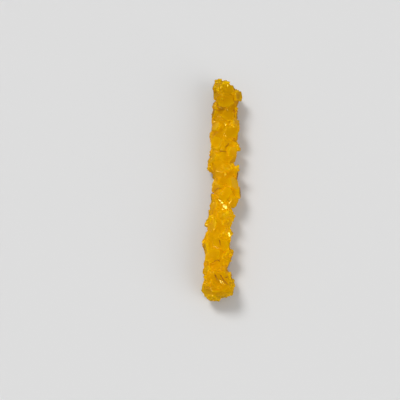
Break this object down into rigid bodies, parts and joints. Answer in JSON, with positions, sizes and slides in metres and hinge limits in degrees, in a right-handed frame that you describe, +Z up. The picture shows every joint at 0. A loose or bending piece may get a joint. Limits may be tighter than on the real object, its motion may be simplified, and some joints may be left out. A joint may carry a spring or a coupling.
{
  "type": "rock candy stick",
  "caption": "Straight stick of intergrown amber sugar crystals with saffron threads caught on it, lying on its side.",
  "frame": {"origin": "under the middle of the bounding box, on the table that the stick lies on", "axes": "+Y along the stick to its peaked end, +X to its right as seen from above, +Z up"},
  "size_m": [0.0308, 0.201, 0.0237],
  "materials": {
    "candy": "translucent golden amber sugar crystal, glossy facets",
    "saffron": "dry red-brown saffron thread"
  },
  "bodies": {
    "root": {"rock_candy_stick": "candy"}
  },
  "joints": []
}
